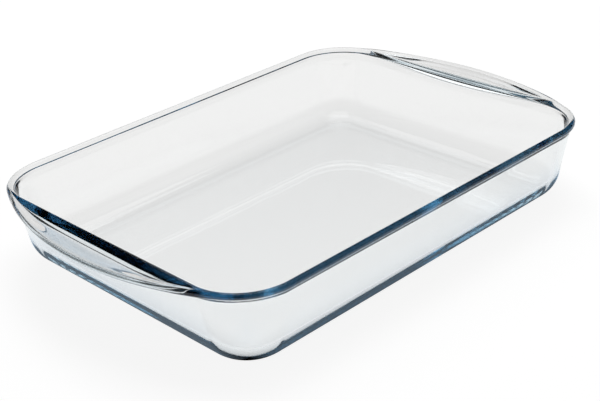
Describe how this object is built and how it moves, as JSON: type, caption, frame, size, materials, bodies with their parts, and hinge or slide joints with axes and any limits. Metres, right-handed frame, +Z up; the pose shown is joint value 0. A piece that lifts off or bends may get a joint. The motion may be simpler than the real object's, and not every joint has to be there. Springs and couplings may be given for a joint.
{
  "type": "glass roasting dish",
  "caption": "Clear glass rectangular roasting dish with rounded corners, leaning walls, a round rim bead and a crescent handle flange at each short end.",
  "frame": {"origin": "on the resting face, below the middle of the dish", "axes": "+X along the length, from the left handle to the right handle, +Y across the width towards the rear wall, +Z up out of the open top"},
  "size_m": [0.3976, 0.267, 0.062],
  "materials": {
    "clear_glass": "fire-polished clear glass"
  },
  "bodies": {
    "root": {"floor_panel": "clear_glass", "front_wall": "clear_glass", "rear_wall": "clear_glass", "left_end_wall": "clear_glass", "right_end_wall": "clear_glass", "front_left_corner": "clear_glass", "front_right_corner": "clear_glass", "rear_left_corner": "clear_glass", "rear_right_corner": "clear_glass", "front_rim": "clear_glass", "rear_rim": "clear_glass", "left_handle": "clear_glass", "right_handle": "clear_glass", "front_left_rim": "clear_glass", "front_right_rim": "clear_glass", "rear_left_rim": "clear_glass", "rear_right_rim": "clear_glass"}
  },
  "joints": []
}
